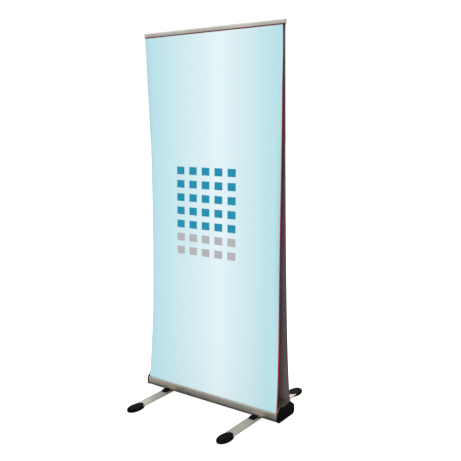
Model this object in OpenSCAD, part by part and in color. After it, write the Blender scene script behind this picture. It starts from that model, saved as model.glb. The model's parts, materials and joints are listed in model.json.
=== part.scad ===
// Double-sided roll-up banner stand.
// Two printed sheets rise from one floor cassette to a pair of top rails, held up by a
// telescopic pole between them. Origin: on the floor, under the middle of the cassette.
// X runs along the cassette, -Y is the front, +Z is up. Millimetres.

/* [Banner] */
// Width of each printed sheet
sheet_w = 915; // [840:5:1000]
// Height of each printed sheet between cassette and rail
sheet_h = 2000; // [1900:10:2100]
// Thickness of a sheet's solid
sheet_t = 0.8; // [0.6:0.1:1.2]

/* [Cassette] */
// Height of the cassette's floor above the ground
floor_z = 24; // [23.5:0.5:26]
// Wall thickness of the cassette's extrusion
wall = 2; // [1.6:0.1:2.2]
// Thickness of a moulded end cap
cap_t = 7.5; // [6:0.5:8]
// How far an end cap stands proud of the extrusion
cap_proud = 2; // [1:0.5:3]

/* [Rollers] */
// Outer radius of a roller tube
roller_r = 16; // [15:0.5:16.5]
// Thickness of the leader film wound on a roller
leader_t = 1.7; // [1.2:0.1:2]

/* [Pole] */
// Length of each pole tube
tube_len = 720; // [700:5:730]
// How far one tube reaches into the next when the pole is extended
tube_overlap = 70; // [60:5:80]

/* [Top rails] */
// Height of a top rail
rail_h = 22; // [20:1:24]
// Front-to-back depth of one top rail
rail_d = 13.5; // [13:0.5:15]

/* [Feet] */
// Distance of each foot from the middle of the cassette
foot_x = 316; // [280:2:340]
// Half of a foot's length from tip to tip
foot_reach = 406; // [380:2:440]
// Width of a foot's flat bar
bar_w = 58; // [54:1:60]
// Thickness of a foot's flat bar
bar_t = 6.5; // [6:0.5:7]

/* [Hidden] */
$fn = 64;

screw_head_r = 3.8;
screw_head_h = 2.4;
gap = 0.3;                    // space between bodies that move past each other
fit = 0.05;                   // radial play of a shaft that turns in a bore
aluminium = [0.70, 0.69, 0.66];
steel = [0.62, 0.63, 0.65];
black = [0.06, 0.06, 0.065];
rail_grey = [0.80, 0.80, 0.76];

// Cassette section, for the half with y above 0
body_len = sheet_w + 9;
side_y = 83.5;                // outer face of the side wall
corner_r = 17;                // rounded lower corner
corner = [side_y - corner_r, floor_z + corner_r];
groove_from = -62;            // where the clip groove starts and ends round the lower corner
groove_to = -47;
groove_z = corner[1] + corner_r * sin(groove_from);
groove_top = corner[1] + corner_r * sin(groove_to);
groove_bed = 70;              // how near the middle the clip groove reaches
lip_z = floor_z + 51.5;       // top of the lip outside the banner slot
lip_d = 6.6;                  // depth of the thick lip
lip_r = 5.2;                  // rounding of the lip's outer edge
lip_back_r = 1.2;
valley_z = floor_z + 72;      // middle of the cover between its two crests
crest = [45, floor_z + 68];   // centre of a crest's round top
crest_r = 11.5;
slope_a = 50;                 // direction in which the outer slope faces
cover_edge_y = 73.3;          // free edge of the cover, inside the banner slot
web_y = 20;                   // outer face of the webs beside the pole channel
port_r = 4;                   // screw ports that run along the extrusion
port_hole_r = 1.8;
cap_hole_r = 2.2;             // clearance for a screw's shank through an end cap
cap_recess = 3;               // depth of the recess that takes the screw's head
cap_sunk = 0.5;               // how far an end cap's top lies under the cover's top
boss_r = 11;                  // boss inside an end cap that holds a roller's end
boss_len = 5;
seat_depth = cap_t - 2;       // how far a roller's bearing reaches into an end cap
ports = [[26, valley_z - 2], [62, floor_z + 5.4]];

// Banner path
slot_y = 75.1;
slot_z = floor_z + 52.5;
top_y = rail_d - 1.8;
top_z = slot_z + sheet_h;
roller_y = 44;
roller_z = floor_z + 42;
wound_r = roller_r + leader_t;

// Roller ends
tube_half = body_len / 2 - 12.5;
shaft_r = 4;
bush_r = 7;
flange_t = 2;                 // plug's flange over the tube's end
plug_r = roller_r - 1.55;
spring_r = 8;                 // mean radius of the torsion spring
wire_r = 0.9;
spring_from = -tube_half + 14.2;
spring_len = 230;
spring_turns = 15;
anchor_x = spring_from + spring_len + 2 * wire_r + 0.5;

// Pole
pole_foot_z = floor_z + 12;
lower_r = 14;
middle_r = 12.3;
upper_r = 10.5;
tube_wall = 1.4;
middle_z = pole_foot_z + tube_len - tube_overlap;
upper_z = middle_z + tube_len - tube_overlap;
head_z = top_z - 24;          // top end of the upper tube
collar_h = 42;

// Rails
rail_len = sheet_w + 4;
rail_z = top_z;
groove_y = 5.2;               // middle of the groove that the pole head's blade enters
blade_h = 9;
mouth_y = rail_d - 5;         // inner side of the mouth that holds the sheet's top edge
crown = [6.8, rail_h - 11];   // centre of a rail's elliptical crown

// Feet
bar_z = 12;
bracket_w = bar_w + 12;
bracket_top = floor_z - 0.3;
block_y = 36;                 // half length of the block round the bar
arm_y = 30;                   // where the arms start inside the block
nose_w = 34;
nose_y = 110;
nose_z = floor_z + 6;
nose_r = 11;
bar_play = 0.15;              // space round the bar inside its bracket
foot_cap_len = 120;
foot_cap_z = 2;
foot_cap_mid = foot_reach - foot_cap_len / 2;
bar_end_gap = 32;             // from a bar's end to the tip of its cap
pad_h = 3;
rivet_y = 22;
rivet_hole_r = 2.6;

function mirror_y(points) = [for (i = [len(points) - 1:-1:0]) [-points[i][0], points[i][1]]];
function arc(centre, r, from, to, steps) =
    [for (i = [0:steps]) let (a = from + (to - from) * i / steps)
        centre + r * [cos(a), sin(a)]];
// The cover's top from its middle to the outer slope, lifted by g from the extrusion's face
function cover_top(g) = concat(
    [for (i = [0:7]) let (y = 40.7 * i / 8) [y, valley_z + g + 7.2 * pow(i / 8, 2)]],
    arc(crest, crest_r + g, 112, slope_a, 8));
// The point of the outer slope at distance y from the middle
function slope_at(y, g) = let (p = crest + (crest_r + g) * [cos(slope_a), sin(slope_a)])
    [y, p[1] - (y - p[0]) / tan(slope_a)];
function lower_corner(g) = arc(corner, corner_r + g, -90, 0, 8);

// One half of the extrusion's section: round the outside, in through the banner slot,
// round the roller chamber and back out over the cover
function half_section() = concat(
    arc(corner, corner_r, -90, groove_from, 3),
    [[groove_bed, groove_z], [groove_bed, groove_top]],
    arc(corner, corner_r, groove_to, 0, 5),
    arc([side_y - lip_r, lip_z - lip_r], lip_r, 0, 90, 7),
    arc([side_y - lip_d + lip_back_r, lip_z - lip_back_r], lip_back_r, 90, 180, 3),
    [[side_y - lip_d, lip_z - 6], [side_y - wall, lip_z - 10]],
    arc(corner, corner_r - wall, 0, -32, 3),
    [[groove_bed - wall, groove_top + wall], [groove_bed - wall, floor_z + wall],
     [web_y, floor_z + wall], [web_y, valley_z - wall + 1.7]],
    [for (p = cover_top(-wall)) if (p[0] > web_y + 0.5) p],
    [slope_at(cover_edge_y - 1, -wall - 0.8), slope_at(cover_edge_y, -wall),
     slope_at(cover_edge_y, -0.6), slope_at(cover_edge_y - 0.8, 0)],
    [for (i = [len(cover_top(0)) - 1:-1:1]) cover_top(0)[i]]);

module along_x(from, to) {
    translate([min(from, to), 0, 0]) rotate([90, 0, 90])
        linear_extrude(height = abs(to - from)) children();
}
module rod_x(from, to, r) {
    translate([min(from, to), 0, 0]) rotate([0, 90, 0]) cylinder(h = abs(to - from), r = r);
}
module tube_x(from, to, outer, inner) {
    difference() {
        rod_x(from, to, outer);
        rod_x(from - 1, to + 1, inner);
    }
}
module on_roller(side) {
    translate([0, side * roller_y, roller_z]) children();
}
module port_places() {
    for (sy = [-1, 1], p = ports) translate([0, sy * p[0], p[1]]) children();
}
module pole_tube(z, outer_r, len) {
    translate([0, 0, z]) difference() {
        cylinder(h = len, r = outer_r);
        translate([0, 0, -1]) cylinder(h = len + 2, r = outer_r - tube_wall);
    }
}

// ---- Cassette ----

module cassette_body() color(aluminium) difference() {
    union() {
        along_x(-body_len / 2, body_len / 2)
            polygon(concat(half_section(), mirror_y(half_section())));
        port_places() rod_x(-body_len / 2, body_len / 2, port_r);
    }
    along_x(-body_len / 2 - 1, body_len / 2 + 1)
        polygon([[-web_y + wall, floor_z + wall], [web_y - wall, floor_z + wall],
                 [web_y - wall, valley_z - wall], [-web_y + wall, valley_z - wall]]);
    port_places() rod_x(-body_len / 2 - 1, body_len / 2 + 1, port_hole_r);
    translate([0, 0, valley_z - 10]) cylinder(h = 30, r = lower_r + 3.6);
    for (sx = [-1, 1]) translate([sx * 30, 0, valley_z - 10]) cylinder(h = 30, r = 2.1);
}

module end_cap(side) {
    outline = concat(lower_corner(cap_proud),
        [[side_y + cap_proud, slope_at(side_y + cap_proud, -cap_sunk)[1] - 2.5],
         slope_at(side_y + cap_proud - 2, -cap_sunk)],
        [for (i = [len(cover_top(0)) - 1:-1:1]) cover_top(-cap_sunk)[i]]);
    end = side * body_len / 2;
    face = end + side * cap_t;
    color(black) difference() {
        union() {
            along_x(end, face) polygon(concat(outline, mirror_y(outline)));
            for (sy = [-1, 1]) on_roller(sy) rod_x(end, end - side * boss_len, boss_r);
        }
        for (sy = [-1, 1]) on_roller(sy)
            rod_x(end - side * (boss_len + 1), end + side * seat_depth,
                  side < 0 ? shaft_r + 0.02 : bush_r);
        port_places() rod_x(end - side, face + side, cap_hole_r);
        port_places() rod_x(face - side * cap_recess, face + side, 4.2);
    }
}
module end_cap_left() end_cap(-1);
module end_cap_right() end_cap(1);

// Cross-recess pan head screws, eight in all, driven through the caps into the ports
module end_cap_screws() color(steel) for (side = [-1, 1]) port_places() {
    seat = side * (body_len / 2 + cap_t - cap_recess);
    tip = side * (body_len / 2 - 12);
    difference() {
        union() {
            rod_x(seat, tip, port_hole_r - 0.05);
            rod_x(seat, seat + side * screw_head_h, screw_head_r);
        }
        for (turn = [0, 90]) translate([seat + side * screw_head_h, 0, 0]) rotate([turn, 0, 0])
            cube([2.4, 4, 0.9], center = true);
    }
}

// ---- Rollers ----

module roller_tube(side) color(aluminium) on_roller(side) difference() {
    rod_x(-tube_half, tube_half, roller_r);
    rod_x(-tube_half - 1, tube_half + 1, roller_r - 1.5);
    // Shallow groove that the leader's adhesive edge sits beside
    translate([0, 0, roller_r]) cube([2 * tube_half + 2, 1.6, 1], center = true);
}
module front_roller_tube() roller_tube(-1);
module rear_roller_tube() roller_tube(1);

module leader_roll(side) color([0.85, 0.86, 0.86]) on_roller(side)
    tube_x(-sheet_w / 2 + 12, sheet_w / 2 - 12, wound_r, roller_r + 0.02);
module front_leader_roll() leader_roll(-1);
module rear_leader_roll() leader_roll(1);

// Bush in the roller's left end that turns on the fixed shaft and drives the spring
module spring_plug(side) color([0.9, 0.9, 0.88]) on_roller(side) difference() {
    union() {
        rod_x(-tube_half, -tube_half + 14, plug_r);
        rod_x(-tube_half - flange_t, -tube_half, roller_r);
    }
    rod_x(-tube_half - 3, -tube_half + 15, shaft_r + fit);
}
module front_spring_plug() spring_plug(-1);
module rear_spring_plug() spring_plug(1);

// Plug in the roller's right end with the journal that turns in the idler bush
module idler_plug(side) color([0.9, 0.9, 0.88]) on_roller(side) {
    rod_x(tube_half - 14, tube_half, plug_r);
    rod_x(tube_half, tube_half + flange_t, roller_r);
    rod_x(tube_half + flange_t, tube_half + 14, shaft_r);
}
module front_idler_plug() idler_plug(-1);
module rear_idler_plug() idler_plug(1);

module idler_bush(side) color([0.88, 0.86, 0.78]) on_roller(side)
    tube_x(tube_half + 4, tube_half + 15, bush_r - 0.02, shaft_r + fit);
module front_idler_bush() idler_bush(-1);
module rear_idler_bush() idler_bush(1);

// Fixed shaft: held in the left cap, ends in the disc that anchors the spring
module spring_shaft(side) color(steel) on_roller(side) {
    rod_x(-body_len / 2 - seat_depth, anchor_x, shaft_r);
    rod_x(anchor_x, anchor_x + 8, 11);
}
module front_spring_shaft() spring_shaft(-1);
module rear_spring_shaft() spring_shaft(1);

// Torsion spring round the fixed shaft, swept as a closed six-sided wire
module torsion_spring(side) {
    steps = 12 * spring_turns;
    sides = 6;
    points = [for (i = [0:steps]) let (a = side * 360 * i / 12, x = spring_len * i / steps)
        for (j = [0:sides - 1]) let (b = 360 * j / sides, r = spring_r + wire_r * cos(b))
            [x + wire_r * sin(b) + wire_r, r * cos(a), r * sin(a)]];
    last = steps * sides;
    skin = [for (i = [0:steps - 1], j = [0:sides - 1], half = [0, 1])
        let (a = i * sides + j, b = i * sides + (j + 1) % sides,
             t = half == 0 ? [a, b, b + sides] : [a, b + sides, a + sides])
            side > 0 ? t : [t[2], t[1], t[0]]];
    start_face = [for (j = [0:sides - 1]) side > 0 ? sides - 1 - j : j];
    end_face = [for (j = [0:sides - 1]) last + (side > 0 ? j : sides - 1 - j)];
    color(steel) on_roller(side) translate([spring_from, 0, 0])
        polyhedron(points = points, faces = concat([start_face], skin, [end_face]));
}
module front_spring() torsion_spring(-1);
module rear_spring() torsion_spring(1);

// ---- Sheets ----

// Strip of film from the roller to the slot, leaving the roller on its outer side
module leader(side) {
    dy = slot_y - roller_y;
    dz = slot_z - roller_z;
    reach = norm([dy, dz]);
    r = wound_r + 0.35 + sheet_t / 2;
    lean = atan2(dz, dy) - acos(r / reach);
    touch = [roller_y, roller_z] + r * [cos(lean), sin(lean)];
    away = ([slot_y, slot_z] - touch) / norm([slot_y, slot_z] - touch);
    across = sheet_t / 2 * [-away[1], away[0]];
    top = [slot_y, slot_z] - 0.9 * away;
    color([0.85, 0.86, 0.86]) along_x(-sheet_w / 2 + 12, sheet_w / 2 - 12)
        scale([side, 1]) polygon([touch - across, top - across, top + across, touch + across]);
}
module front_leader() leader(-1);
module rear_leader() leader(1);

module banner(side, tint) color(tint) along_x(-sheet_w / 2, sheet_w / 2)
    polygon([[side * (slot_y - sheet_t / 2), slot_z], [side * (slot_y + sheet_t / 2), slot_z],
             [side * (top_y + sheet_t / 2), top_z + 4], [side * (top_y - sheet_t / 2), top_z + 4]]);
module front_banner() banner(-1, [0.84, 0.94, 0.96]);
module rear_banner() banner(1, [0.62, 0.60, 0.60]);

// ---- Pole ----

module pole_socket() color(black) difference() {
    union() {
        translate([0, 0, floor_z + wall]) cylinder(h = valley_z - floor_z - wall + 4, r = lower_r + 3.2);
        translate([-38, -13, valley_z + 0.8]) cube([76, 26, 3]);
    }
    translate([0, 0, pole_foot_z]) cylinder(h = 200, r = lower_r + 0.2);
    for (sx = [-1, 1]) translate([sx * 30, 0, valley_z - 2]) cylinder(h = 10, r = 2.1);
}
module pole_socket_screws() color(steel) for (sx = [-1, 1]) translate([sx * 30, 0, valley_z + 3.8])
    difference() {
        union() {
            cylinder(h = screw_head_h, r = screw_head_r);
            translate([0, 0, -14]) cylinder(h = 14, r = 2);
        }
        for (turn = [0, 90]) translate([0, 0, screw_head_h]) rotate([0, 0, turn])
            cube([4, 0.9, 2.4], center = true);
    }

module pole_lower_tube() color(aluminium) pole_tube(pole_foot_z, lower_r, tube_len);
module pole_middle_tube() color(aluminium) pole_tube(middle_z, middle_r, tube_len);
module pole_upper_tube() color(aluminium) pole_tube(upper_z, upper_r, head_z - upper_z);

// Twist-lock collar: gripped by hand, turned to squeeze the sleeve on the tube inside it
module lock_collar(z, tube_r, inner_r, outer_r) color(black) translate([0, 0, z]) difference() {
    union() {
        cylinder(h = collar_h - 6, r = outer_r);
        translate([0, 0, collar_h - 6]) cylinder(h = 6, r1 = outer_r, r2 = outer_r - 3);
    }
    translate([0, 0, -1]) cylinder(h = collar_h - 13, r = tube_r + gap);
    translate([0, 0, -2]) cylinder(h = collar_h + 4, r = inner_r + gap);
    for (a = [0:45:315]) rotate([0, 0, a + 22.5]) translate([outer_r + 1.1, 0, 4])
        cylinder(h = collar_h - 14, r = 2.2);
}
module lower_lock_collar()
    lock_collar(pole_foot_z + tube_len - collar_h + 14 + gap, lower_r, middle_r, lower_r + 4);
module upper_lock_collar()
    lock_collar(middle_z + tube_len - collar_h + 14 + gap, middle_r, upper_r, middle_r + 3.4);

// Head that carries both rails: a plug in the tube, a crossbar and two upright blades
module pole_head() color(black) {
    translate([0, 0, head_z - 28]) cylinder(h = 28, r = upper_r - tube_wall - 0.05);
    translate([0, 0, head_z]) cylinder(h = 14, r = upper_r);
    translate([-26, 0.2 - mouth_y, head_z + 14]) cube([52, 2 * mouth_y - 0.4, top_z - head_z - 14]);
    for (sy = [-1, 1]) translate([-26, sy * groove_y - 1, top_z]) cube([52, 2, blade_h]);
}

// ---- Top rails ----

// Outside of a rail above its foot: the two rails' rounded tops leave a V between them
function rail_crown() = concat(
    [for (i = [0:12]) let (a = 150 * i / 12)
        crown + [(rail_d - crown[0]) * cos(a), (rail_h - crown[1]) * sin(a)]],
    [[0.15, rail_h - 9.5]]);
// Section of a rail: the groove for the pole head's blade, then the mouth for the sheet
function rail_section() = concat(
    [[0.15, 0], [groove_y - 1.3, 0], [groove_y - 1.3, blade_h + 0.4],
     [groove_y + 1.3, blade_h + 0.4], [groove_y + 1.3, 0],
     [mouth_y, 0], [mouth_y, 1.2], [mouth_y - 0.6, 1.2], [mouth_y - 0.6, 5.4],
     [rail_d - 1, 5.4], [rail_d - 1, 0], [rail_d - 0.1, 0]],
    rail_crown());
module top_rail(side) color(rail_grey) translate([0, 0, rail_z]) difference() {
    along_x(-rail_len / 2, rail_len / 2) scale([side, 1]) polygon(rail_section());
    translate([0, side * crown[0], rail_h - 6.5]) rod_x(-rail_len / 2 - 1, rail_len / 2 + 1, 3.4);
}
module front_top_rail() top_rail(-1);
module rear_top_rail() top_rail(1);

// Moulded plugs that close a rail's two ends
module rail_plugs(side) color([0.56, 0.57, 0.52]) for (sx = [-1, 1])
    translate([0, 0, rail_z]) along_x(sx * rail_len / 2, sx * (rail_len / 2 + 3)) scale([side, 1])
        polygon(concat([[0.15, 0], [rail_d - 0.1, 0]], rail_crown()));
module front_rail_plugs() rail_plugs(-1);
module rear_rail_plugs() rail_plugs(1);

// Strip that clamps the sheet's top edge inside the rail's mouth, with a stop at each end
module grip_strip(side) color(black) translate([0, 0, rail_z]) {
    along_x(-rail_len / 2, rail_len / 2) scale([side, 1])
        polygon([[mouth_y + 0.2, -0.6], [mouth_y + 2.4, -0.6], [mouth_y + 2.4, 5.2],
            [mouth_y - 0.4, 5.2], [mouth_y - 0.4, 1.4], [mouth_y + 0.2, 1.4]]);
    for (sx = [-1, 1]) translate([sx * (rail_len / 2 - 5) - 5, side > 0 ? 0.5 : -10.5, -4.4])
        cube([10, 10, 4.2]);
}
module front_grip_strip() grip_strip(-1);
module rear_grip_strip() grip_strip(1);

// ---- Feet ----

module foot_bar(side) color(aluminium) translate([side * foot_x, 0, 0]) difference() {
    translate([-bar_w / 2, -foot_reach + bar_end_gap, bar_z])
        cube([bar_w, 2 * (foot_reach - bar_end_gap), bar_t]);
    for (sy = [-1, 1]) translate([0, sy * rivet_y, bar_z - 1]) cylinder(h = bar_t + 2, r = rivet_hole_r);
}
module foot_bar_left() foot_bar(-1);
module foot_bar_right() foot_bar(1);

// Bracket round the bar: an arm at each end hooks a tongue into the cassette's groove
function nose_section() = concat(
    [[arm_y, bar_z + bar_t + bar_play], [nose_y, bar_z + bar_t + bar_play]],
    arc([nose_y - nose_r, nose_z - nose_r], nose_r, 0, 90, 7),
    arc(corner, corner_r + gap, -39, -47, 2),
    [[groove_bed + gap + 0.2, groove_top - gap], [groove_bed + gap + 0.2, groove_z + gap]],
    arc(corner, corner_r + gap, -59, -80, 4), [[arm_y, bracket_top]]);
module foot_bracket(side) color(black) translate([side * foot_x, 0, 0]) difference() {
    union() {
        translate([-bracket_w / 2, -block_y, bar_z - 4])
            cube([bracket_w, 2 * block_y, bracket_top - bar_z + 4]);
        for (sy = [-1, 1]) along_x(-nose_w / 2, nose_w / 2) scale([sy, 1]) polygon(nose_section());
    }
    translate([-bar_w / 2 - bar_play, -side_y, bar_z - bar_play])
        cube([bar_w + 2 * bar_play, 2 * side_y, bar_t + 2 * bar_play]);
    for (sy = [-1, 1]) translate([0, sy * rivet_y, bar_z - 5]) cylinder(h = 30, r = rivet_hole_r);
    for (sy = [-1, 1]) translate([0, sy * rivet_y, bracket_top - 1.6]) cylinder(h = 3, r = 4.8);
}
module foot_bracket_left() foot_bracket(-1);
module foot_bracket_right() foot_bracket(1);

// Two rivets through a bracket and its bar, heads sunk above and standing proud below
module foot_rivets(side) color(steel) for (sy = [-1, 1]) translate([side * foot_x, sy * rivet_y, 0]) {
    translate([0, 0, bar_z - 4]) cylinder(h = bracket_top - 0.2 - bar_z + 4, r = 2.5);
    translate([0, 0, bar_z - 5.4]) cylinder(h = 1.4, r = 4.5);
    translate([0, 0, bracket_top - 1.5]) cylinder(h = 1.3, r = 4.6);
}
module foot_rivets_left() foot_rivets(-1);
module foot_rivets_right() foot_rivets(1);

// Domed oval shoe on a bar's end. Each level is a height and how far its outline moves in
module foot_cap(side, end) color(black)
    translate([side * foot_x, end * foot_cap_mid, foot_cap_z]) difference() {
        hull() for (level = [[0, 4], [4, 0], [11, 0], [16.5, 4.5], [19.5, 11], [20.5, 18]],
                    ball = [[0, 37], [1, 27], [-1, 27]])
            translate([0, ball[0] * (foot_cap_len / 2 - 27), level[0]])
                cylinder(h = 0.1, r = ball[1] - level[1], $fn = 32);
        translate([-bar_w / 2 - 0.1, end > 0 ? -200 : bar_end_gap - 0.1 - foot_cap_len / 2,
                   bar_z - foot_cap_z - 0.1])
            cube([bar_w + 0.2, 200.1 - bar_end_gap + foot_cap_len / 2, bar_t + 0.2]);
        translate([0, 0, -1]) cylinder(h = pad_h - foot_cap_z + 1.1, r = 20.1);
    }
module foot_cap_left_front() foot_cap(-1, -1);
module foot_cap_left_rear() foot_cap(-1, 1);
module foot_cap_right_front() foot_cap(1, -1);
module foot_cap_right_rear() foot_cap(1, 1);

module foot_pads(side) color([0.1, 0.1, 0.1]) for (end = [-1, 1])
    translate([side * foot_x, end * foot_cap_mid, 0]) cylinder(h = pad_h, r = 20);
module foot_pads_left() foot_pads(-1);
module foot_pads_right() foot_pads(1);

cassette_body();
end_cap_left();
end_cap_right();
end_cap_screws();
front_roller_tube();
rear_roller_tube();
front_leader_roll();
rear_leader_roll();
front_spring_plug();
rear_spring_plug();
front_idler_plug();
rear_idler_plug();
front_spring();
rear_spring();
front_spring_shaft();
rear_spring_shaft();
front_idler_bush();
rear_idler_bush();
front_leader();
rear_leader();
front_banner();
rear_banner();
pole_socket();
pole_socket_screws();
pole_lower_tube();
pole_middle_tube();
pole_upper_tube();
lower_lock_collar();
upper_lock_collar();
pole_head();
front_top_rail();
rear_top_rail();
front_rail_plugs();
rear_rail_plugs();
front_grip_strip();
rear_grip_strip();
foot_bar_left();
foot_bar_right();
foot_bracket_left();
foot_bracket_right();
foot_rivets_left();
foot_rivets_right();
foot_cap_left_front();
foot_cap_left_rear();
foot_cap_right_front();
foot_cap_right_rear();
foot_pads_left();
foot_pads_right();
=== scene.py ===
"""Looks of the double-sided roll-up banner stand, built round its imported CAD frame. Metres."""

import json
import math

import bmesh
import bpy
from mathutils import Matrix, Vector


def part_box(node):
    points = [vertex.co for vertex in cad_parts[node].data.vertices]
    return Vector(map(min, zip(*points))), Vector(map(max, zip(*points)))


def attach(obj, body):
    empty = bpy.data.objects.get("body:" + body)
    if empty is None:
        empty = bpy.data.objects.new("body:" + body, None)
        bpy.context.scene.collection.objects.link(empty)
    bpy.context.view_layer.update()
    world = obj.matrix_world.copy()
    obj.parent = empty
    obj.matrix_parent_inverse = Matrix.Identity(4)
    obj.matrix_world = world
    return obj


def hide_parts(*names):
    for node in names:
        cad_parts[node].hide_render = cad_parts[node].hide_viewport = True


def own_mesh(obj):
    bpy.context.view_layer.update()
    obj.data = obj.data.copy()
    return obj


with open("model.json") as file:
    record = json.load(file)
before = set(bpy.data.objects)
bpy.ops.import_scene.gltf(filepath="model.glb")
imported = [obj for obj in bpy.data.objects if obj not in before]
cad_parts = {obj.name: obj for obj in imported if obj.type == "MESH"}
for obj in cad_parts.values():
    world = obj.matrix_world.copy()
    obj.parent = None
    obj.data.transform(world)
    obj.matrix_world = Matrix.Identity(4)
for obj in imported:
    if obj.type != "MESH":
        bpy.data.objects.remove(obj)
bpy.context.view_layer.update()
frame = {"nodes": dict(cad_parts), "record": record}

MM = 0.001
SENSOR = 36.0
slot_of = {row["node"]: row["material_slot"] for row in frame["record"]["subparts"]}
body_of = {name: body for body, names in frame["record"]["behaviour"]["bodies"].items() for name in names}


# ---- Camera: the photograph's viewpoint ----

CAMERA_PLACE = Vector((2.227, -2.865, 1.644))
CAMERA_YAW = math.radians(36.41)
CAMERA_PITCH = math.radians(9.95)
CAMERA_ROLL = math.radians(-0.82)
FOCAL_SHARE = 1.439          # focal length as a share of the picture's side


def make_camera():
    ahead = Vector((-math.sin(CAMERA_YAW) * math.cos(CAMERA_PITCH),
                    math.cos(CAMERA_YAW) * math.cos(CAMERA_PITCH), -math.sin(CAMERA_PITCH)))
    level = Vector((math.cos(CAMERA_YAW), math.sin(CAMERA_YAW), 0))
    above = level.cross(ahead)
    right = level * math.cos(CAMERA_ROLL) + above * math.sin(CAMERA_ROLL)
    up = above * math.cos(CAMERA_ROLL) - level * math.sin(CAMERA_ROLL)
    turn = Matrix((right, up, -ahead)).transposed().to_4x4()
    data = bpy.data.cameras.new("photo_camera")
    data.sensor_width = SENSOR
    data.lens = SENSOR * FOCAL_SHARE
    data.clip_end = 100
    camera = bpy.data.objects.new("photo_camera", data)
    camera.matrix_world = Matrix.Translation(CAMERA_PLACE) @ turn
    bpy.context.scene.collection.objects.link(camera)
    bpy.context.scene.camera = camera


# ---- Node-tree helpers ----

def display(red, green, blue):
    """Linear colour of an 8-bit display colour."""
    def linear(value):
        share = value / 255
        return share / 12.92 if share <= 0.04045 else ((share + 0.055) / 1.055) ** 2.4
    return (linear(red), linear(green), linear(blue), 1)


class Tree:
    """A material's node tree, with short calls to add and join nodes."""

    def __init__(self, name, colour, roughness, metallic=0.0, **settings):
        self.material = bpy.data.materials.new(name)
        self.material.use_nodes = True
        self.material.diffuse_color = colour
        self.tree = self.material.node_tree
        self.shader = self.tree.nodes["Principled BSDF"]
        self.set("Base Color", colour)
        self.set("Roughness", roughness)
        self.set("Metallic", metallic)
        for socket, value in settings.items():
            self.set(socket.replace("_", " "), value)

    def set(self, socket, value):
        self.shader.inputs[socket].default_value = value

    def add(self, kind, values=None, **options):
        node = self.tree.nodes.new("ShaderNode" + kind)
        for option, value in options.items():
            setattr(node, option, value)
        for socket, value in (values or {}).items():
            if isinstance(value, bpy.types.NodeSocket):
                self.tree.links.new(value, node.inputs[socket])
            else:
                node.inputs[socket].default_value = value
        return node

    def drive(self, socket, source):
        self.tree.links.new(source, self.shader.inputs[socket])

    def place(self, scale):
        """Object coordinates stretched by scale, a number for each axis."""
        where = self.add("TexCoord").outputs["Object"]
        return self.add("Mapping", {"Vector": where, "Scale": scale}).outputs["Vector"]

    def grain(self, scale, detail=2.0, rough=0.5):
        """Noise from 0 to 1 with so many grains to the metre along each axis."""
        values = {"Vector": self.place(scale), "Scale": 1.0, "Detail": detail, "Roughness": rough}
        return self.add("TexNoise", values).outputs["Fac"]

    def math(self, operation, first, second=0.5, clamp=False):
        return self.add("Math", {0: first, 1: second}, operation=operation, use_clamp=clamp).outputs[0]

    def spread(self, source, low, high, start=0.0, end=1.0):
        """Maps source from start..end to low..high."""
        values = {"Value": source, "From Min": start, "From Max": end, "To Min": low, "To Max": high}
        return self.add("MapRange", values).outputs["Result"]

    def mix(self, share, first, second):
        return self.add("MixRGB", {"Fac": share, "Color1": first, "Color2": second}).outputs["Color"]

    def attribute(self, name, output="Fac"):
        return self.add("Attribute", attribute_name=name).outputs[output]

    def bump(self, height, depth, strength):
        """Raises the surface by up to depth metres where height is 1."""
        values = {"Height": height, "Distance": depth, "Strength": strength}
        self.drive("Normal", self.add("Bump", values).outputs["Normal"])


def tinted(colour, factor):
    return (colour[0] * factor, colour[1] * factor, colour[2] * factor, 1)


def blended(first, second, share):
    return tuple(a + (b - a) * share for a, b in zip(first, second))


# ---- Materials ----

def drawn_metal(name, colour, roughness, along, worn=1.5, metallic=1.0):
    """Anodised or mill-finish aluminium: die lines run along one axis, edges are rubbed brighter. A high
    worn, as on the cassette, makes the bright edges partly a painted highlight as well as wear.
    """
    tree = Tree(name, colour, roughness, metallic=metallic)
    fine = [2600.0] * 3
    fine[along] = 5.0
    broad = [420.0] * 3
    broad[along] = 1.6
    lines = tree.grain(fine, detail=3.0)
    bands = tree.grain(broad, detail=2.0)
    clouds = tree.grain([9.0, 9.0, 9.0], detail=4.0, rough=0.6)
    shade = tree.math("ADD", tree.spread(lines, -0.35, 0.35), tree.spread(bands, -0.3, 0.3, 0.3, 0.7))
    shade = tree.math("ADD", shade, tree.spread(clouds, 0.15, 0.85, 0.25, 0.75), clamp=True)
    base = tree.mix(shade, tinted(colour, 0.86), tinted(colour, 1.1))
    # Brighter edges: wear, and where worn is set high also a painted highlight
    rubbed = tree.math("MULTIPLY", tree.attribute("edge"), tree.spread(clouds, 0.2, 1.0, 0.35, 0.6))
    tree.drive("Base Color", tree.mix(rubbed, base, tinted(colour, worn)))
    tree.drive("Roughness", tree.math("ADD", tree.spread(lines, -0.09, 0.09, 0.3, 0.7),
                                      tree.spread(clouds, roughness - 0.05, roughness + 0.07, 0.3, 0.7)))
    height = tree.math("ADD", tree.math("MULTIPLY", lines, 0.6), bands)
    tree.bump(height, 0.00004, 0.5)
    return tree.material


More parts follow.
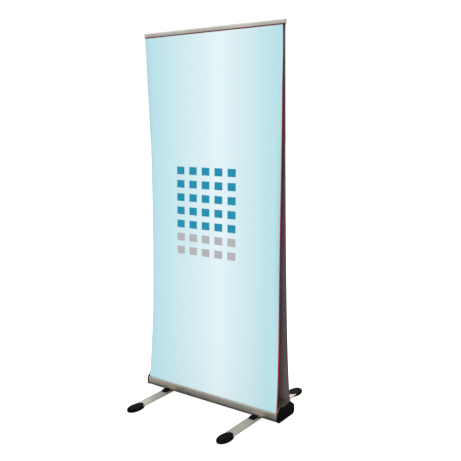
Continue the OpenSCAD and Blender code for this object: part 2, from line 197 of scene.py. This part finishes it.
def moulded(name, colour, roughness, grain_size=1500.0, relief=0.00006, worn=2.6, gloss=0.5):
    """Injection-moulded plastic: fine eroded grain, slow gloss changes and scuffed edges."""
    tree = Tree(name, colour, roughness, Specular_IOR_Level=gloss)
    grain = tree.grain([grain_size] * 3, detail=3.0, rough=0.6)
    flow = tree.grain([14.0, 22.0, 22.0], detail=3.0)
    scuffs = tree.grain([160.0, 70.0, 110.0], detail=5.0, rough=0.7)
    dusty = tree.spread(scuffs, 0.0, 1.0, 0.56, 0.8)
    base = tree.mix(tree.spread(flow, 0.0, 1.0, 0.3, 0.7), tinted(colour, 0.85), tinted(colour, 1.2))
    base = tree.mix(tree.math("MULTIPLY", dusty, 0.5), base, tinted(colour, 1.9))
    rubbed = tree.math("MULTIPLY", tree.attribute("edge"), tree.spread(scuffs, 0.15, 0.8, 0.35, 0.65))
    tree.drive("Base Color", tree.mix(rubbed, base, tinted(colour, worn)))
    slow = tree.spread(flow, roughness - 0.06, roughness + 0.06, 0.3, 0.7)
    tree.drive("Roughness", tree.math("ADD", slow, tree.spread(scuffs, -0.05, 0.1, 0.3, 0.75)))
    tree.bump(grain, relief, 0.8)
    return tree.material


def zinc_plate(name, colour, roughness):
    """Bright zinc with a faint crystal pattern and darker handling marks."""
    tree = Tree(name, colour, roughness, metallic=1.0)
    cells = tree.add("TexVoronoi", {"Vector": tree.place([900.0] * 3), "Scale": 1.0}).outputs["Distance"]
    marks = tree.grain([260.0] * 3, detail=4.0, rough=0.65)
    base = tree.mix(tree.spread(cells, 0.0, 1.0, 0.1, 0.8), tinted(colour, 0.82), tinted(colour, 1.08))
    base = tree.mix(tree.spread(marks, 0.0, 0.5, 0.52, 0.75), base, tinted(colour, 0.55))
    tree.drive("Base Color", base)
    tree.drive("Roughness", tree.spread(marks, roughness - 0.08, roughness + 0.15, 0.3, 0.7))
    tree.bump(cells, 0.00003, 0.5)
    return tree.material


def soft_rubber(name, colour):
    """Matt rubber with a fine grain and dust."""
    tree = Tree(name, colour, 0.85)
    grain = tree.grain([2200.0] * 3, detail=4.0, rough=0.7)
    dust = tree.grain([60.0] * 3, detail=5.0, rough=0.7)
    tree.drive("Base Color", tree.mix(tree.spread(dust, 0.0, 0.6, 0.45, 0.75), colour, tinted(colour, 2.2)))
    tree.drive("Roughness", tree.spread(dust, 0.75, 0.95))
    tree.bump(grain, 0.0001, 0.7)
    return tree.material


# The print, across the sheet from -0.5 to 0.5 and up it from 0 to 1
PRINT_EDGE = (180, 222, 230)
PRINT_MIDDLE = (229, 243, 247)
PRINT_PEAK = 0.08             # where the pale middle lies across the sheet
RAMP_STEPS = 4                # steps from an edge to the pale middle
# The top border's red is the print red darkened with painted shade from the top rail above it
TOP_RED_WITH_PAINTED_SHADE = (0.14, 0.004, 0.010, 1)
SIDE_RED = (0.42, 0.012, 0.022, 1)
BACKING = display(133, 120, 122)
TILE_TEAL = (0.0, 0.215, 0.345, 1)
TILE_GREY = (0.37, 0.36, 0.375, 1)
# A plain block of square tiles: where it starts, its pitch, a tile's size and how many there are
ACROSS_TILES = (-0.248, 0.0965, 0.059, 5)
UP_TILES = (0.394, 0.0374, 0.0215, 7)
GREY_ROWS = 2
RIGHT_BORDER, LEFT_BORDER, TOP_BORDER = 0.0058, 0.0012, 0.0052
RIGHT_BORDER_TOP = RIGHT_BORDER * 0.15     # the red line thins out towards the top corner
MOTTLE = (0.45, 0.5, 0.52, 1)
LIT = 0.815                   # white of the display over the light on the sheets


def sheet_print(name, side):
    """Satin print outside, grey blockout inside. side is -1 for the front sheet, 1 for the rear."""
    middle = tinted(display(*PRINT_MIDDLE), LIT)
    tree = Tree(name, middle, 0.5, Specular_IOR_Level=0.06)
    split = tree.add("SeparateXYZ", {"Vector": tree.attribute("print_place", "Vector")}).outputs
    across = split["X"] if side < 0 else tree.math("MULTIPLY", split["X"], -1.0)
    up = split["Y"]
    ramp = tree.add("ValToRGB", {"Fac": tree.math("ADD", across, 0.5)})
    stops = ramp.color_ramp.elements
    peak = 0.5 + PRINT_PEAK
    shares = [step / RAMP_STEPS for step in range(RAMP_STEPS + 1)]
    places = [(share * peak, share) for share in shares]
    places += [(peak + share * (0.5 - PRINT_PEAK), 1 - share) for share in shares[1:]]
    while len(stops) < len(places):
        stops.new(0.5)
    for stop, (place, share) in zip(stops, places):
        stop.position = place
        stop.color = tinted(display(*blended(PRINT_EDGE, PRINT_MIDDLE, share)), LIT)
    colour = ramp.outputs["Color"]

    inside = 1.0
    for source, (start, pitch, size, count) in ((across, ACROSS_TILES), (up, UP_TILES)):
        number = tree.math("DIVIDE", tree.math("SUBTRACT", source, start), pitch)
        on_tile = tree.math("LESS_THAN", tree.math("FRACT", number), size / pitch)
        on_tile = tree.math("MULTIPLY", on_tile, tree.math("GREATER_THAN", number, 0.0))
        on_tile = tree.math("MULTIPLY", on_tile, tree.math("LESS_THAN", number, float(count)))
        inside = tree.math("MULTIPLY", on_tile, inside)
    tile = tree.mix(tree.math("LESS_THAN", number, float(GREY_ROWS)), TILE_TEAL, TILE_GREY)
    colour = tree.mix(inside, colour, tile)

    border = tree.spread(up, RIGHT_BORDER, RIGHT_BORDER_TOP, 0.84, 0.96)
    edge = tree.math("MAXIMUM", tree.math("GREATER_THAN", tree.math("ADD", across, border), 0.5),
                     tree.math("LESS_THAN", across, LEFT_BORDER - 0.5))
    # The side red line darkens towards the top, blending into the top border's painted shade
    side_red_with_painted_shade = tree.mix(tree.spread(up, 0.0, 0.75, 0.55, 0.85), SIDE_RED, TOP_RED_WITH_PAINTED_SHADE)
    colour = tree.mix(edge, colour, side_red_with_painted_shade)
    colour = tree.mix(tree.math("GREATER_THAN", up, 1 - TOP_BORDER), colour, TOP_RED_WITH_PAINTED_SHADE)

    mottle = tree.grain([900.0, 900.0, 900.0], detail=3.0)
    colour = tree.mix(tree.spread(mottle, 0.0, 0.06, 0.35, 0.65), colour, MOTTLE)
    weave = tree.grain([2400.0, 2400.0, 2400.0], detail=1.0)
    marks = tree.grain([18.0, 18.0, 5.0], detail=4.0)
    backing = tree.mix(tree.spread(marks, 0.0, 1.0, 0.3, 0.7), tinted(BACKING, 0.86), tinted(BACKING, 1.12))
    backing = tree.mix(tree.spread(weave, 0.0, 0.5), backing, tinted(BACKING, 0.7))
    is_inside = tree.math("GREATER_THAN", split["Z"], 0.5)
    tree.drive("Base Color", tree.mix(is_inside, colour, backing))
    tree.drive("Roughness", tree.math("ADD", tree.spread(mottle, 0.38, 0.5),
                                      tree.math("MULTIPLY", is_inside, 0.22)))
    tree.bump(weave, 0.00003, 0.35)
    return tree.material


def leader_plastic(name, colour):
    """Smooth pale grey film with a faint haze."""
    tree = Tree(name, colour, 0.32)
    haze = tree.grain([30.0, 160.0, 160.0], detail=4.0)
    tree.drive("Base Color", tree.mix(haze, tinted(colour, 0.88), tinted(colour, 1.04)))
    tree.drive("Roughness", tree.spread(haze, 0.24, 0.42))
    tree.bump(haze, 0.00005, 0.4)
    return tree.material


MATERIALS = {
    # The cassette's worn=1.7 makes its bright edges partly a painted highlight, besides wear
    "cassette_aluminium": drawn_metal("cassette_aluminium", (0.56, 0.505, 0.45, 1), 0.32, 0, worn=1.7),
    "moulded_black": moulded("moulded_black", (0.0018, 0.0017, 0.0019, 1), 0.6, gloss=0.05),
    "foot_cap_black": moulded("foot_cap_black", (0.0016, 0.0015, 0.0017, 1), 0.62,
                              relief=0.00004, gloss=0.035),
    "pole_black": moulded("pole_black", (0.022, 0.022, 0.024, 1), 0.46, worn=2.2, gloss=0.4),
    "zinc_steel": zinc_plate("zinc_steel", (0.62, 0.63, 0.65, 1), 0.32),
    "black_steel": zinc_plate("black_steel", (0.05, 0.05, 0.052, 1), 0.4),
    "spring_steel": zinc_plate("spring_steel", (0.45, 0.45, 0.46, 1), 0.36),
    "roller_aluminium": drawn_metal("roller_aluminium", (0.72, 0.72, 0.72, 1), 0.38, 0, worn=1.1),
    "leader_film": leader_plastic("leader_film", (0.72, 0.73, 0.73, 1)),
    "white_plastic": moulded("white_plastic", (0.74, 0.73, 0.68, 1), 0.4, worn=1.1),
    "front_print": sheet_print("front_print", -1),
    "rear_print": sheet_print("rear_print", 1),
    "pole_aluminium": drawn_metal("pole_aluminium", (0.62, 0.62, 0.62, 1), 0.3, 2, worn=1.2),
    "rail_aluminium": drawn_metal("rail_aluminium", (0.73, 0.705, 0.645, 1), 0.34, 0, worn=1.15),
    "grey_plastic": moulded("grey_plastic", (0.42, 0.41, 0.37, 1), 0.45, worn=1.3),
    "foot_aluminium": drawn_metal("foot_aluminium", (0.465, 0.425, 0.375, 1), 0.58, 1,
                                  worn=1.3, metallic=0.75),
    "pad_rubber": soft_rubber("pad_rubber", (0.02, 0.02, 0.02, 1)),
}


# ---- Mesh helpers ----

def finish_piece(shape, name, node, sharp_angle=50):
    """Turns a bmesh into a piece that stands for a CAD node and rides its body."""
    mesh = bpy.data.meshes.new(name)
    bmesh.ops.recalc_face_normals(shape, faces=shape.faces)
    shape.to_mesh(mesh)
    shape.free()
    mesh.shade_smooth()
    mesh.set_sharp_from_angle(angle=math.radians(sharp_angle))
    mesh.materials.append(MATERIALS[slot_of[node]])
    piece = bpy.data.objects.new(name, mesh)
    bpy.context.scene.collection.objects.link(piece)
    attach(piece, body_of[node])
    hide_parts(node)
    return piece


WELD = 0.02 * MM              # points closer than this are one point
NO_LENGTH = 0.01 * MM
NEARLY_FLAT = math.radians(0.6)
SHARP_EDGE = math.radians(38)


def refine(node, width, segments=2):
    """A CAD node's own shape with its sharp edges rounded, as extruding and moulding leave them."""
    source = frame["nodes"][node].data
    shape = bmesh.new()
    points = [shape.verts.new(v.co) for v in source.vertices]
    shape.verts.ensure_lookup_table()
    for polygon in source.polygons:
        corners = [points[i] for i in polygon.vertices]
        if shape.faces.get(corners) is None:
            shape.faces.new(corners)
    bmesh.ops.remove_doubles(shape, verts=shape.verts, dist=WELD)
    bmesh.ops.dissolve_degenerate(shape, dist=NO_LENGTH, edges=shape.edges)
    bmesh.ops.dissolve_limit(shape, angle_limit=NEARLY_FLAT, verts=shape.verts, edges=shape.edges)
    edge_mark = shape.faces.layers.float.new("edge")
    picked = [e for e in shape.edges if e.is_manifold and e.calc_face_angle(0) > SHARP_EDGE]
    made = bmesh.ops.bevel(shape, geom=picked, offset=width, offset_type="OFFSET", segments=segments,
                           profile=0.5, affect="EDGES", clamp_overlap=True)
    for face in made["faces"]:
        face[edge_mark] = 1.0
    piece = finish_piece(shape, node + "_refined", node)
    even_shading = piece.modifiers.new("even_shading", "WEIGHTED_NORMAL")
    even_shading.keep_sharp = True


# ---- Printed sheets ----

SHEET_SOLID = 0.8 * MM        # thickness of the CAD's solid
SHEET_THICK = 0.45 * MM
SHEET_ROWS = 110
FLAT_COLUMNS, CURL_COLUMNS = 28, 14
LEAST_BEND = 1e-4             # below this a row counts as straight
# How each sheet's side edges curl in: width that curls, most turn, how low down the most turn
# lies (1 puts it half way up, less puts it lower) and how soon the curl eases in from the ends
FRONT_CURL = (58 * MM, math.radians(77), 0.85, 1.0)
REAR_CURL = (42 * MM, math.radians(62), 0.5, 0.7)


def curl_columns(width, curled):
    """Places across the sheet, closer together where the edges curl."""
    half = width / 2
    flat = half - curled
    left = [-half + curled * i / CURL_COLUMNS for i in range(CURL_COLUMNS)]
    middle = [-flat + 2 * flat * i / FLAT_COLUMNS for i in range(FLAT_COLUMNS + 1)]
    right = [flat + curled * (i + 1) / CURL_COLUMNS for i in range(CURL_COLUMNS)]
    return left + middle + right


def make_sheet(name, node, side, curl):
    """A stretched sheet with curled side edges. side is -1 for the front one, 1 for the rear."""
    curled, most_turn, lean, ease = curl
    low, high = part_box(node)
    width = high.x - low.x
    foot = Vector((0, side * (max(abs(low.y), abs(high.y)) - SHEET_SOLID / 2), low.z))
    head = Vector((0, side * (min(abs(low.y), abs(high.y)) + SHEET_SOLID / 2), high.z))
    rise = head - foot
    climb = rise.normalized()
    inward = Vector((1, 0, 0)).cross(climb) * side
    columns = curl_columns(width, curled)
    rows = [rise.length * i / SHEET_ROWS for i in range(SHEET_ROWS + 1)]
    half_flat = width / 2 - curled

    shape = bmesh.new()
    place = shape.verts.layers.float_vector.new("print_place")
    skins = []
    for skin in (0, 1):
        grid = []
        for up in rows:
            share = up / rise.length
            bend = most_turn * max(0.0, math.sin(math.pi * share ** lean)) ** ease
            line = []
            for across in columns:
                beyond = max(0.0, abs(across) - half_flat)
                turn = bend * beyond / curled
                if bend > LEAST_BEND:
                    radius = curled / bend
                    x, sunk = half_flat + radius * math.sin(turn), radius * (1 - math.cos(turn))
                else:
                    x, sunk = half_flat + beyond, 0.0
                x = math.copysign(x, across) if beyond > 0 else across
                tilt = math.copysign(turn, across)
                out = -inward * math.cos(turn) + Vector((math.sin(tilt), 0, 0))
                offset = out * SHEET_THICK / 2 * (1 if skin == 0 else -1)
                vertex = shape.verts.new(foot + climb * up + inward * sunk + Vector((x, 0, 0)) + offset)
                vertex[place] = (across / width, share, skin)
                line.append(vertex)
            grid.append(line)
        skins.append(grid)
    outer, inner = skins
    last_row, last_column = len(rows) - 1, len(columns) - 1
    for i in range(last_row):
        for j in range(last_column):
            shape.faces.new((outer[i][j], outer[i][j + 1], outer[i + 1][j + 1], outer[i + 1][j]))
            shape.faces.new((inner[i][j], inner[i + 1][j], inner[i + 1][j + 1], inner[i][j + 1]))
        for j in (0, last_column):
            shape.faces.new((outer[i][j], outer[i + 1][j], inner[i + 1][j], inner[i][j]))
    for j in range(last_column):
        for i in (0, last_row):
            shape.faces.new((outer[i][j], outer[i][j + 1], inner[i][j + 1], inner[i][j]))
    piece = finish_piece(shape, name, node)
    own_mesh(piece)


# ---- Foot caps ----

OUTLINE_STEPS = 96
CAP_SHAPE_POWER = 2.05        # 2 is a plain ellipse, more is squarer
# Skirt with a groove near its top: each level is a share of the height and how far the outline moves in
CAP_SKIRT = [(0.0, 4.6 * MM), (0.02, 3.6 * MM), (0.08, 1.4 * MM), (0.17, 0.2 * MM), (0.26, 0.0),
             (0.40, 0.0), (0.48, 0.1 * MM), (0.492, 0.75 * MM), (0.504, 0.75 * MM), (0.516, 0.15 * MM)]
DOME_IN = 21 * MM
DOME_STEPS = 14
CAP_TOP_INSETS = (27 * MM, 33 * MM)
BAR_PLAY = 0.1 * MM
CUTTER_LENGTH = 0.3           # long enough to pass out of the cap's inner end
CAP_SHARP_ANGLE = 40


def oval(reach, half_width, power):
    """Points of a rounded oval, reach along Y and half_width along X."""
    points = []
    for i in range(OUTLINE_STEPS):
        angle = 2 * math.pi * i / OUTLINE_STEPS
        c, s = math.cos(angle), math.sin(angle)
        points.append((half_width * math.copysign(abs(c) ** (2 / power), c),
                       reach * math.copysign(abs(s) ** (2 / power), s)))
    return points


def loft(shape, rings):
    """Closed skin through rings of equally many points."""
    made = [[shape.verts.new(p) for p in ring] for ring in rings]
    count = len(made[0])
    for lower, upper in zip(made, made[1:]):
        for i in range(count):
            j = (i + 1) % count
            shape.faces.new((lower[i], lower[j], upper[j], upper[i]))
    shape.faces.new(list(reversed(made[0])))
    shape.faces.new(made[-1])


def box_shape(low, high):
    """A plain box from low to high, to cut with."""
    mesh = bpy.data.meshes.new("cutter")
    shape = bmesh.new()
    bmesh.ops.create_cube(shape, size=1)
    for v in shape.verts:
        v.co = Vector(low[i] + (v.co[i] + 0.5) * (high[i] - low[i]) for i in range(3))
    shape.to_mesh(mesh)
    shape.free()
    cutter = bpy.data.objects.new("cutter", mesh)
    bpy.context.scene.collection.objects.link(cutter)
    return cutter


def cut(piece, cutter):
    """Takes the cutter's space out of the piece and drops the cutter."""
    modifier = piece.modifiers.new("cut", "BOOLEAN")
    modifier.operation = "DIFFERENCE"
    modifier.solver = "EXACT"
    modifier.object = cutter
    bpy.context.view_layer.update()
    graph = bpy.context.evaluated_depsgraph_get()
    mesh = bpy.data.meshes.new_from_object(piece.evaluated_get(graph))
    piece.modifiers.remove(modifier)
    piece.data = mesh
    bpy.data.objects.remove(cutter)


def make_foot_cap(node, bar):
    """A domed cap with a pocket for the end of its foot bar."""
    low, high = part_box(node)
    middle = (low + high) / 2
    reach, half_width, height = (high.y - low.y) / 2, (high.x - low.x) / 2, high.z - low.z
    dome_from, dome_inset = CAP_SKIRT[-1]
    levels = list(CAP_SKIRT)
    for i in range(1, DOME_STEPS + 1):
        angle = math.pi / 2 * i / DOME_STEPS
        rise = math.sin(angle) ** 0.9
        moved_in = DOME_IN * (1 - math.cos(angle)) ** 0.92
        levels.append((dome_from + (1 - dome_from) * rise, moved_in + dome_inset))
    rings = []
    for share, inset in levels:
        outline = oval(reach - inset, half_width - inset, CAP_SHAPE_POWER)
        rings.append([Vector((middle.x + x, middle.y + y, low.z + height * share)) for x, y in outline])
    top = low.z + height
    for inset in CAP_TOP_INSETS:
        outline = oval(reach - inset, half_width - inset, 2.0)
        rings.append([Vector((middle.x + x, middle.y + y, top)) for x, y in outline])
    shape = bmesh.new()
    loft(shape, rings)
    piece = finish_piece(shape, node + "_dome", node, CAP_SHARP_ANGLE)
    bar_low, bar_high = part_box(bar)
    end = bar_low.y - BAR_PLAY if middle.y < 0 else bar_high.y + BAR_PLAY
    inner = [end, middle.y - math.copysign(CUTTER_LENGTH, middle.y)]
    cut(piece, box_shape((bar_low.x - BAR_PLAY, min(inner), bar_low.z - BAR_PLAY),
                         (bar_high.x + BAR_PLAY, max(inner), bar_high.z + BAR_PLAY)))
    piece.data.shade_smooth()
    piece.data.set_sharp_from_angle(angle=math.radians(CAP_SHARP_ANGLE))


# ---- The whole object ----

make_camera()
make_sheet("front_sheet", "front_banner", -1, FRONT_CURL)
make_sheet("rear_sheet", "rear_banner", 1, REAR_CURL)

for stand_end in ("left", "right"):
    for foot_end in ("front", "rear"):
        make_foot_cap(f"foot_cap_{stand_end}_{foot_end}", f"foot_bar_{stand_end}")
    refine(f"foot_bar_{stand_end}", 1.0 * MM, 3)
    refine(f"foot_bracket_{stand_end}", 0.8 * MM, 3)
    refine(f"foot_rivets_{stand_end}", 0.4 * MM, 3)
    refine(f"foot_pads_{stand_end}", 0.5 * MM)
    refine(f"end_cap_{stand_end}", 1.2 * MM, 4)
for sheet_side in ("front", "rear"):
    refine(f"{sheet_side}_top_rail", 0.25 * MM)
    refine(f"{sheet_side}_rail_plugs", 0.5 * MM, 3)
    refine(f"{sheet_side}_grip_strip", 0.2 * MM)
refine("cassette_body", 0.3 * MM)
refine("end_cap_screws", 0.3 * MM)
refine("pole_socket", 0.6 * MM, 3)
refine("pole_socket_screws", 0.3 * MM)
for section in ("lower", "middle", "upper"):
    refine(f"pole_{section}_tube", 0.3 * MM)
for section in ("lower", "upper"):
    refine(f"{section}_lock_collar", 0.6 * MM, 3)
refine("pole_head", 0.5 * MM)

for node_name, node_object in frame["nodes"].items():
    node_object.data.materials.clear()
    node_object.data.materials.append(MATERIALS[slot_of[node_name]])


# ---- Stage: white floor and soft studio light ----

WHITE = (1, 1, 1, 1)
FLOOR_HALF = 30.0
FLOOR_GLOW = 0.9              # light added to the floor that the camera sees, so it comes out white
CARD_HALF_LENGTH, CARD_HALF_DEPTH = 0.56, 0.17
LIGHT_LOW, LIGHT_HIGH = 0.42, 1.05         # light on the object, from the horizon and from above
HIGH_FROM = 0.9               # height on the unit sky from which the light is LIGHT_HIGH
BACKDROP = 1.05               # light that the camera sees behind the object


def stage_plane(name, half_length, half_depth, height, material):
    """A level rectangle about the origin that belongs to the stage."""
    mesh = bpy.data.meshes.new(name)
    corners = [(-half_length, -half_depth, height), (half_length, -half_depth, height),
               (half_length, half_depth, height), (-half_length, half_depth, height)]
    mesh.from_pydata(corners, [], [(0, 1, 2, 3)])
    mesh.materials.append(material)
    plane = bpy.data.objects.new(name, mesh)
    bpy.context.scene.collection.objects.link(plane)
    return plane


def make_floor():
    """A floor of plain pale grey, with light added to it that only the camera sees."""
    tree = Tree("floor_white", (0.42, 0.42, 0.42, 1), 0.9)
    path = tree.add("LightPath").outputs["Is Camera Ray"]
    glow = tree.add("Emission", {"Color": WHITE, "Strength": FLOOR_GLOW}).outputs[0]
    soft = tree.add("AddShader", {0: tree.shader.outputs[0], 1: glow}).outputs[0]
    shown = tree.add("MixShader", {0: path, 1: tree.shader.outputs[0], 2: soft}).outputs[0]
    tree.tree.links.new(shown, tree.tree.nodes["Material Output"].inputs["Surface"])
    stage_plane("floor", FLOOR_HALF, FLOOR_HALF, 0, tree.material)


def make_painted_shade_card():
    """A black card on the floor under the cassette, which only reflections see. It is painted shade: it
    darkens the cassette's lower curve as a shadowed floor beneath it would.
    """
    black = Tree("painted_shade_black_card", (0.02, 0.02, 0.02, 1), 0.9).material
    card = stage_plane("painted_shade_card", CARD_HALF_LENGTH, CARD_HALF_DEPTH, MM, black)
    card.visible_camera = False
    card.visible_shadow = False
    card.visible_diffuse = False


def make_world():
    """Soft light, weaker from the horizon, and an even white backdrop for the camera."""
    world = bpy.data.worlds.new("studio")
    bpy.context.scene.world = world
    world.use_nodes = True
    nodes, links = world.node_tree.nodes, world.node_tree.links
    nodes.clear()
    where = nodes.new("ShaderNodeTexCoord")
    split = nodes.new("ShaderNodeSeparateXYZ")
    links.new(where.outputs["Generated"], split.inputs[0])
    spread = nodes.new("ShaderNodeMapRange")
    links.new(split.outputs["Z"], spread.inputs["Value"])
    limits = {"From Min": 0.0, "From Max": HIGH_FROM, "To Min": LIGHT_LOW, "To Max": LIGHT_HIGH}
    for socket, value in limits.items():
        spread.inputs[socket].default_value = value
    studio = nodes.new("ShaderNodeBackground")
    links.new(spread.outputs["Result"], studio.inputs["Strength"])
    seen = nodes.new("ShaderNodeBackground")
    seen.inputs["Strength"].default_value = BACKDROP
    for background in (studio, seen):
        background.inputs["Color"].default_value = WHITE
    path = nodes.new("ShaderNodeLightPath")
    mixed = nodes.new("ShaderNodeMixShader")
    links.new(path.outputs["Is Camera Ray"], mixed.inputs[0])
    links.new(studio.outputs[0], mixed.inputs[1])
    links.new(seen.outputs[0], mixed.inputs[2])
    output = nodes.new("ShaderNodeOutputWorld")
    links.new(mixed.outputs[0], output.inputs["Surface"])


def make_sun(name, azimuth, elevation, strength, softness):
    """azimuth is where the light comes from, from +X towards +Y. All angles are in degrees."""
    data = bpy.data.lights.new(name, "SUN")
    data.energy = strength
    data.angle = math.radians(softness)
    sun = bpy.data.objects.new(name, data)
    a, e = math.radians(azimuth), math.radians(elevation)
    source = Vector((math.cos(a) * math.cos(e), math.sin(a) * math.cos(e), math.sin(e)))
    sun.rotation_euler = source.to_track_quat("Z", "Y").to_euler()
    bpy.context.scene.collection.objects.link(sun)


make_floor()
make_painted_shade_card()
make_world()
make_sun("key_light", -75, 38, 2.2, 30)
make_sun("back_light", 110, 42, 1.6, 40)
bpy.context.scene.view_settings.view_transform = "Standard"
